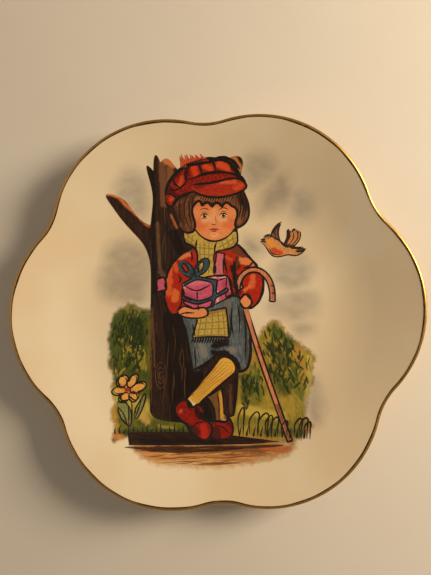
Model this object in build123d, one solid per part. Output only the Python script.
from build123d import *
from math import acos, cos, degrees, radians, sin, sqrt, tan
import os

# A scalloped souvenir plate: a cast clay dish on a foot ring, glazed all over but for the
# edge it stands on, gilded along the lip and decorated with fired enamel colours.
# Millimetres, +Z up. The origin is the middle of the circle that the foot ring stands on,
# +X points to the crest of one lobe and +Y to the top of the picture.

# Rim outline
lobe_count = 6
tip_radius = 102.5          # centre of the plate to the crest of a lobe
lobe_radius = 59.5          # round of a lobe
hollow_radius = 40.7        # round of the hollow between two lobes
lip_round = 1.35            # round along both edges of the lip

# Section of the dish
floor_radius = 46.0         # flat middle of the dish
bend_radius = 91.0          # curve between the flat floor and the sloping wall
wall_slope = 22.0           # slope of the wall in degrees
wall = 3.4                  # thickness of the clay

# Foot ring
foot_radius = 57.0          # outside of the ring
foot_width = 4.2
foot_height = 2.6           # drop from the underside of the floor to the table
foot_round = 1.1            # round on the edges that stand on the table
foot_fillet = 1.2           # hollow where the ring grows out of the underside

# Coats
glaze_thickness = 0.25
glaze_stop = 1.3            # bare clay from the table up to here
gilt_thickness = 0.12
gilt_width = 1.6            # gold line seen from above
enamel_thickness = 0.12

# The picture is drawn in its own units and sized to the dish
drawn_reach = 82.0          # farthest drawn point from the middle of the drawing
picture_margin = 14.0       # from that point to the rim at a hollow
picture_turn = -2.0         # the picture stands a little askew between the lobes

# Places that follow from the sizes
floor_top = foot_height + wall
half_lobe = 180 / lobe_count
lobe_offset = tip_radius - lobe_radius
hollow_offset = lobe_offset * cos(radians(half_lobe)) + sqrt(
    (lobe_radius + hollow_radius) ** 2 - (lobe_offset * sin(radians(half_lobe))) ** 2
)
notch_radius = hollow_offset - hollow_radius
picture_scale = (notch_radius - picture_margin) / drawn_reach
bend_centre = (floor_radius, floor_top + bend_radius)
beyond_rim = tip_radius + 10


def polar(distance, angle, centre=(0, 0)):
    """Point at a distance and an angle in degrees from centre."""
    turned = radians(angle)
    return (centre[0] + distance * cos(turned), centre[1] + distance * sin(turned))


# ---------------------------------------------------------------- the dish


def rim_outline(grow):
    """Scalloped outline moved outwards by grow: lobes and hollows are tangent arcs."""
    first = polar(lobe_offset, 0)
    hollow = polar(hollow_offset, half_lobe)
    reach = Vector(*hollow) - Vector(*first)
    meeting = first + reach.normalized() * (lobe_radius + grow)
    meeting_radius = meeting.length
    meeting_angle = degrees(acos(meeting.X / meeting_radius))
    edges = []
    for lobe in range(lobe_count):
        middle = lobe * 360 / lobe_count
        start = polar(meeting_radius, middle - meeting_angle)
        crest = polar(tip_radius + grow, middle)
        end = polar(meeting_radius, middle + meeting_angle)
        notch = polar(notch_radius + grow, middle + half_lobe)
        following = polar(meeting_radius, middle + 2 * half_lobe - meeting_angle)
        edges.append(ThreePointArc(start, crest, end))
        edges.append(ThreePointArc(end, notch, following))
    return make_face(edges)


def slab_section(below, above, reach):
    """Half section between two surfaces parallel to the top of the clay, out to reach.

    below and above are their heights over the clay; the clay's own underside is -wall.
    """
    rise = tan(radians(wall_slope))
    edges = []
    ends = []
    for height in (below, above):
        radius = bend_radius - height
        bend_end = polar(radius, wall_slope - 90, bend_centre)
        rim = (reach, bend_end[1] + (reach - bend_end[0]) * rise)
        edges.append(Line((0, floor_top + height), (floor_radius, floor_top + height)))
        edges.append(CenterArc(bend_centre, radius, -90, wall_slope))
        edges.append(Line(bend_end, rim))
        ends.append(((0, floor_top + height), rim))
    edges.append(Line(ends[0][0], ends[1][0]))
    edges.append(Line(ends[0][1], ends[1][1]))
    return make_face(edges)


def foot_section(grow):
    """Half section of the foot ring, its sides and bottom moved outwards by grow."""
    outer = foot_radius + grow
    inner = foot_radius - foot_width - grow
    top = floor_top - wall / 2
    corners = [(inner, -grow), (outer, -grow), (outer, top), (inner, top)]
    ring = make_face(Polyline(*corners, close=True))
    standing = ring.vertices().sort_by(Axis.Y)[:2]
    return fillet(standing, min(foot_round, foot_width / 2.2) + grow)


def dish_section(grow):
    """Half section of dish and foot ring, with the hollows where they meet."""
    joined = (slab_section(-wall - grow, grow, beyond_rim) + foot_section(grow)).faces()[0]
    corners = [
        corner for corner in joined.vertices()
        if foot_radius - foot_width - grow - 0.01 < corner.X < foot_radius + grow + 0.01
        and corner.Y > foot_height - grow - 0.01
        and corner.Y < floor_top - wall / 2
    ]
    return fillet(corners, foot_fillet - grow)


def dish(grow):
    """The dish with every surface moved outwards by grow."""
    turned = revolve(Plane.XZ * dish_section(grow), Axis.Z)
    body = turned & extrude(rim_outline(grow), beyond_rim)
    lip = [edge for edge in body.edges() if edge.center().Z > floor_top + wall and on_rim(edge)]
    return fillet(lip, min(lip_round, wall / 2.4) + grow)


def on_rim(edge):
    """True for an edge that runs along the rim, not through its thickness."""
    rise = abs(edge.position_at(1).Z - edge.position_at(0).Z)
    return edge.length > 2 * wall and rise < wall


biscuit_body = dish(0)
glazed = dish(glaze_thickness)
gilded = dish(glaze_thickness + gilt_thickness)


def glaze_coat():
    """Glaze over the whole dish, wiped off the edge that stands on the table."""
    kept = Pos(0, 0, glaze_stop) * Cylinder(
        beyond_rim, beyond_rim, align=(Align.CENTER, Align.CENTER, Align.MIN)
    )
    return (glazed - biscuit_body) & kept


def gold_rim_band():
    """Gold line over the crest of the lip, from the top round to the middle of the edge."""
    coat = gilded - glazed
    inside = extrude(rim_outline(-gilt_width), beyond_rim)
    upper = revolve(Plane.XZ * slab_section(-wall / 2, wall, beyond_rim), Axis.Z)
    return (coat - inside) & upper


# ---------------------------------------------------------------- outlines of the picture


def outline(*runs):
    """Closed face from runs of points, each ending where the next begins.

    Two points make a straight edge and more make a smooth curve.
    """
    edges = []
    for run, following in zip(runs, runs[1:] + runs[:1]):
        points = [*run, following[0]]
        edges.append(Line(*points) if len(points) == 2 else Spline(*points))
    return make_face(edges)


def blob(*points):
    """Closed face with one smooth edge through the points."""
    return make_face(Spline(*points, periodic=True))


def ribbon(width, *points):
    """Face of one width along a smooth line through the points, with square ends."""
    line = Spline(*points)
    steps = 4 * (len(points) - 1)
    sides = ([], [])
    for step in range(steps + 1):
        place = line.position_at(step / steps)
        across = line.tangent_at(step / steps).rotate(Axis.Z, 90) * (width / 2)
        sides[0].append(place + across)
        sides[1].append(place - across)
    return make_face([
        Spline(*sides[0]),
        Line(sides[0][-1], sides[1][-1]),
        Spline(*reversed(sides[1])),
        Line(sides[1][0], sides[0][0]),
    ])


def oval(centre, long, short, tilt):
    """Ellipse by its centre, its two full axes and the tilt of the long one."""
    return Pos(*centre) * Rot(0, 0, tilt) * Ellipse(long / 2, short / 2)


def hands():
    holding = blob((-19.5, 0.5), (-17, 2.7), (-11, 1.7), (-5, 1.6), (-4, -1.2), (-8, -3.2),
                   (-14, -3.2), (-18.5, -1.8))
    on_stick = blob((13.8, 7.6), (13.4, 4), (15.4, 1.8), (18.2, 3), (18.6, 7), (16.6, 9.2))
    return holding + on_stick


def face():
    return blob((-12.4, 50), (-10.5, 57.5), (-3, 61.5), (6, 61), (11.4, 56.5), (12.2, 49.5),
                (9.4, 42.4), (3.6, 38), (-2.6, 37.4), (-8.8, 41.2))


def hair():
    return outline(
        [(-25.2, 57), (-22.5, 52), (-20.4, 47.5), (-17, 42.6)],
        [(-12, 42.2), (-10.6, 46.5), (-12, 52)],
        [(-10.5, 57), (-8.4, 58.4)],
        [(-6.8, 55.9), (-4, 57.6)],
        [(-1.6, 55.4), (1, 57.4)],
        [(3.6, 55.2), (6, 57.4)],
        [(8.6, 55.6), (10.6, 54.6)],
        [(11.6, 50), (11.2, 44.4)],
        [(15.2, 46), (17.6, 50), (17.6, 56), (15.4, 63)],
        [(13, 69), (-4, 72), (-20, 66)],
    )


def cap_visor():
    return blob((-12.4, 64.8), (-8, 61.8), (1, 60.2), (10, 61.6), (16.6, 66), (14, 68.6), (6, 69.2),
                (-4, 67.4))


def cap_crown():
    return outline(
        [(-22.5, 55.4), (-25.4, 56.8), (-26, 60.5), (-24.4, 67), (-20.6, 72), (-15, 75.8),
         (-5, 77.4), (3, 78.8), (8.5, 76.8), (12.4, 72.2)],
        [(13.6, 68), (2, 65), (-12, 63), (-19, 60)],
    )


def scarf():
    collar = outline(
        [(-17, 42.6)],
        [(11.4, 42)],
        [(11.8, 37.4), (8, 33.4), (0.6, 31.4)],
        [(-0.6, 26), (-1, 19)],
        [(-8.4, 19)],
        [(-9.6, 27), (-10.4, 33)],
        [(-15.4, 36.2), (-16.6, 39.4)],
    )
    fringed_end = outline(
        [(-9, -1.6), (-2, 0.6)],
        [(5.4, 2), (6.4, -5)],
        [(7, -13.4), (-2, -13.2)],
        [(-12.4, -13.6), (-10.4, -7)],
    )
    return collar + fringed_end


def vest():
    return outline([(0.9, 31)], [(5, 30.6), (4.2, 24)], [(4.6, 18.8)], [(0, 18.8), (0, 25)])


def ribbon_bow():
    left_loop = oval((-15.4, 22.6), 10.6, 6.4, -48) - oval((-15.9, 23.2), 5.2, 2.3, -60)
    right_loop = oval((-7, 23.8), 10.4, 6.2, 52) - oval((-7.9, 23.7), 6, 2.5, 62)
    knot = oval((-10.6, 18.6), 4.4, 3, 0)
    top_band = outline([(-17.4, 15)], [(-10, 18.9)], [(1, 16.6)], [(0.8, 14.4)], [(-9.8, 16.8)],
                       [(-16.6, 13.7)])
    upright_band = outline([(-1.8, 15.4)], [(1, 16.2)], [(0.7, 8)], [(-1, 3.4)], [(-2.7, 2.6)],
                           [(-1.9, 8)])
    girth_band = outline([(-16.9, 8.4)], [(-9.4, 5.9)], [(-1.8, 8.3)], [(5.9, 12.5)], [(6, 10.4)],
                         [(-1.4, 6.2)], [(-9.4, 4.1)], [(-16.6, 6.2)])
    return left_loop + right_loop + knot + top_band + upright_band + girth_band


def parcel():
    box = outline([(-17.3, 14.6)], [(-10, 18.2)], [(6.3, 18.6)], [(8.6, 9.2)], [(5.2, 6.6)],
                  [(-8.6, 0.2)], [(-16.4, 4.2)])
    behind_arm = outline([(-31, 16.8)], [(-27.2, 18)], [(-26.2, 12)], [(-30.8, 11)])
    return box + behind_arm


def walking_stick():
    crook = ribbon(2.7, (29.8, 5.4), (29.6, 12), (26.4, 19), (20, 22), (14.6, 19.4), (13.4, 12))
    shaft = ribbon(2.5, (15.6, 3), (17.4, -4), (20.6, -15), (25, -28.5), (31, -46), (38.2, -66.4))
    return crook + shaft


def jacket():
    return outline(
        [(-10.6, 34), (-16.6, 31.4), (-22, 26.6), (-25.4, 20), (-26.8, 12), (-26.4, 4), (-22.6, -1.6)],
        [(-18.6, 1.8), (-15, -4)],
        [(-4, -2.6), (6, 2.4), (12.6, 3)],
        [(17, 1.4), (21.4, 3.8), (24.6, 10), (25, 17), (22.6, 23), (17, 29.6), (11.6, 35.4)],
        [(5, 37), (-4, 37)],
    )


def shorts():
    return outline(
        [(-17.6, -3), (-15.2, -14), (-13.4, -24)],
        [(-12.4, -31.8), (-8, -31), (-4.6, -28)],
        [(-0.8, -23.6), (5, -21.8), (10, -25.4)],
        [(12.4, -31.4), (16, -30), (17.7, -26), (17.8, -12)],
        [(16.6, 2.4), (13.4, 7), (8.8, 8.6)],
        [(4.4, 6.2)],
        [(-8, 1)],
    )


def front_leg():
    return outline(
        [(2.2, -24.8), (4.6, -23.8), (8.2, -25.2), (10.5, -29.6)],
        [(9.6, -32.4)],
        [(-9.8, -48.8)],
        [(-12, -50.2)],
        [(-15.2, -46)],
    )


def back_leg():
    return outline(
        [(-4.4, -45)],
        [(3, -40), (3.9, -47)],
        [(4.2, -53.4)],
        [(5.8, -54.6)],
        [(5.6, -57.6)],
        [(-0.4, -57), (-1.4, -50.4)],
    )


def front_shoe():
    return outline(
        [(-15.4, -46.4), (-18.4, -46.8), (-21, -50), (-20.6, -54.2), (-17.6, -57.6)],
        [(-15.4, -59), (-13.2, -62.6), (-9.6, -65.8), (-5.6, -67)],
        [(-2.8, -64.6), (-2, -61), (-4.2, -57.6), (-7.6, -56)],
        [(-6.4, -53), (-8, -49.6)],
        [(-9.8, -48.8), (-12, -50.2)],
    )


def back_shoe():
    return outline(
        [(-1.4, -57.4), (2, -57.6), (5.6, -57.4)],
        [(6.8, -55.8), (8.6, -58.8), (8.9, -62), (7.6, -65.2), (4, -66.6), (-0.6, -66.6), (-2.2, -64)],
    )


def bird():
    body = outline(
        [(23.8, 36.8), (25.8, 37.5), (27.4, 39.4)],
        [(29.2, 38.8), (30, 42), (32, 44.7)],
        [(34.4, 45.8), (33.2, 42.4), (33.4, 39)],
        [(34.4, 36.2), (38, 33.6), (43, 33)],
        [(47, 32.6), (45, 30.4), (42, 29.3), (38.6, 29.7), (34, 28.8), (30.4, 29.2), (27.6, 32.4)],
        [(25.4, 35.4)],
    )
    far_wing = outline(
        [(35.6, 34.8), (37.6, 38.6)],
        [(37.8, 42.6), (39.6, 41.6)],
        [(41.2, 43.2), (42.4, 42)],
        [(44.4, 41.2), (44, 37.8), (42, 35)],
        [(39.4, 33)],
    )
    return body + far_wing


def flower_head():
    petals = [
        oval((-48.9, -36.2), 5.8, 5.2, 60),
        oval((-43.6, -36), 6.8, 4.2, 62),
        oval((-50.2, -40.8), 7, 4.4, 8),
        oval((-40.7, -39.5), 8, 4.6, 22),
        oval((-47.4, -44.2), 6, 4.4, 35),
        oval((-42.9, -43.8), 5.4, 4.2, 110),
        oval((-45.8, -40), 6.4, 6.4, 0),
    ]
    return sum(petals[1:], petals[0])


def flower_leaves():
    left = outline([(-51.4, -47), (-47.6, -47.8), (-44.4, -53.4)], [(-44.8, -59.6), (-49.4, -55.4)])
    right = outline([(-37.6, -42.8), (-38, -48.6), (-42, -56)], [(-42.2, -50.4)])
    return left + right


def ground():
    return outline(
        [(-46, -62.4), (-30, -62.8), (-10, -63.2), (8, -64.4), (20, -65.6)],
        [(33, -66.8), (24, -68), (10, -68.9), (-14, -69.5), (-34, -69.2)],
        [(-44.8, -68.6)],
    )


def ground_wash():
    return outline(
        [(-43, -67.6)],
        [(41.4, -67.2), (38, -71.4), (30, -74.6), (18, -77.4), (0, -79.4), (-18, -79.2), (-33, -77),
         (-40, -73)],
    )


def left_bush():
    return outline(
        [(-34, 2.4), (-38, 1.4), (-42, 3), (-45.6, 5), (-48.4, 2.6), (-52.2, 0.8), (-54.8, -3),
         (-56.2, -9), (-57, -14), (-56.4, -19.4), (-56.4, -24), (-57, -28), (-55, -31.6),
         (-54.6, -38), (-55, -42), (-53.4, -47), (-54.8, -54), (-52.6, -60), (-53.4, -65)],
        [(-45.6, -64.6)],
        [(-8, -63.8)],
        [(-8, -57)],
        [(-34, -52)],
    )


def right_bush():
    return outline(
        [(9.6, -32), (17.4, -27)],
        [(17.4, -19.6), (21.6, -13.4), (25.4, -8), (28.4, -5), (31, -4.4), (34, -6.6), (38, -11.4),
         (45, -17), (50.4, -21.6), (51.6, -26), (50.4, -30), (51, -34.4), (49.2, -41), (46.6, -50),
         (47.6, -55.4), (50.2, -59), (48, -61.8), (43, -65.4)],
        [(30, -67)],
        [(4, -66)],
        [(4, -56), (8, -44)],
    )


def tree():
    return outline(
        [(-34.8, -52), (-35, -40), (-34.6, -20), (-34.4, 0), (-34.2, 16), (-34.8, 27), (-38, 35.6),
         (-44, 42.8), (-50, 50), (-54, 56), (-56.4, 60.6)],
        [(-50.4, 60.6), (-45, 56), (-41, 50.4), (-37, 47.2)],
        [(-34.2, 46), (-33.4, 52), (-33.2, 66), (-34.6, 76)],
        [(-31.6, 73.4), (-29.6, 81)],
        [(-27.8, 77.6), (-24, 79.4), (-20.4, 75.8)],
        [(-10, 80.2), (-2, 78)],
        [(8.4, 80), (13.8, 79.6)],
        [(14, 73), (12.8, 62)],
        [(12.8, 20), (12, -32), (10.8, -48)],
        [(9.6, -54.6), (2, -57), (-8, -58.6), (-18, -58.2), (-28, -57), (-33, -55)],
    )


def clouds():
    return [
        blob((17, 68), (22, 66), (30, 73), (27, 79), (19, 79)),
        blob((24, 51), (32, 53.6), (39.4, 57.6), (38.4, 65), (34, 70), (28.4, 64.6), (24, 58)),
        blob((41.4, 52), (46, 48.6), (50, 52), (47.4, 59), (41.8, 61.4)),
        blob((16, 33), (20, 29), (24.6, 32), (22, 37), (17, 38)),
        blob((31, 22), (32.4, 14.6), (40, 11.8), (48.4, 16), (49, 23), (44, 28.4), (37, 28.8)),
        blob((29, 2), (36, -3.4), (46, -3.4), (52, 3), (50, 9), (43, 10.2), (35, 7.6)),
        blob((41, -8.4), (46, -11.4), (50.2, -8.6), (46.6, -6.2)),
        blob((-50, 66), (-46, 53.4), (-38, 51), (-36, 62), (-39, 71), (-46, 72)),
        blob((-59, 22), (-58.6, 9), (-50, 6.4), (-40, 5), (-36, 18), (-37.4, 33), (-48, 37), (-57, 32)),
        blob((48.4, -42), (48, -52), (51, -56), (53.4, -52), (53, -40), (51, -35.6)),
    ]


# ---------------------------------------------------------------- enamel coats


def enamel_coats():
    """Name and drawn outline of each coat, from the front of the picture to the back."""
    sky = clouds()
    return {
        "enamel_hands": hands(),
        "enamel_ribbon_bow": ribbon_bow(),
        "enamel_parcel": parcel(),
        "enamel_walking_stick": walking_stick(),
        "enamel_cap_visor": cap_visor(),
        "enamel_cap_crown": cap_crown(),
        "enamel_hair": hair(),
        "enamel_face": face(),
        "enamel_scarf": scarf(),
        "enamel_vest": vest(),
        "enamel_front_shoe": front_shoe(),
        "enamel_back_shoe": back_shoe(),
        "enamel_front_leg": front_leg(),
        "enamel_shorts": shorts(),
        "enamel_jacket": jacket(),
        "enamel_back_leg": back_leg(),
        "enamel_bird": bird(),
        "enamel_flower_head": flower_head(),
        "enamel_flower_leaves": flower_leaves(),
        "enamel_tree": tree(),
        "enamel_ground": ground(),
        "enamel_ground_wash": ground_wash(),
        "enamel_left_bush": left_bush(),
        "enamel_right_bush": right_bush(),
        "enamel_sky_wash": sum(sky[1:], sky[0]),
    }


def enamel_coat(drawn, film):
    """The part of the film of enamel on the glaze that lies inside a drawn outline."""
    placed = Rot(0, 0, picture_turn) * scale(drawn, picture_scale)
    return film & extrude(placed, beyond_rim)


def save(name, shape):
    """Write a node, its solids gathered under its name."""
    solids = shape.solids()
    node = solids[0] if len(solids) == 1 else Compound(children=solids)
    node.label = name
    export_step(node, f"parts/{name}.step")


def main():
    os.makedirs("parts", exist_ok=True)
    save("biscuit_body", biscuit_body)
    save("glaze_coat", glaze_coat())
    save("gold_rim_band", gold_rim_band())
    film_section = slab_section(glaze_thickness, glaze_thickness + enamel_thickness, notch_radius)
    film = revolve(Plane.XZ * film_section, Axis.Z)
    in_front = []
    for name, drawn in enamel_coats().items():
        visible = drawn
        for nearer in in_front:
            visible = visible - nearer
        in_front.append(drawn)
        save(name, enamel_coat(visible, film))


main()
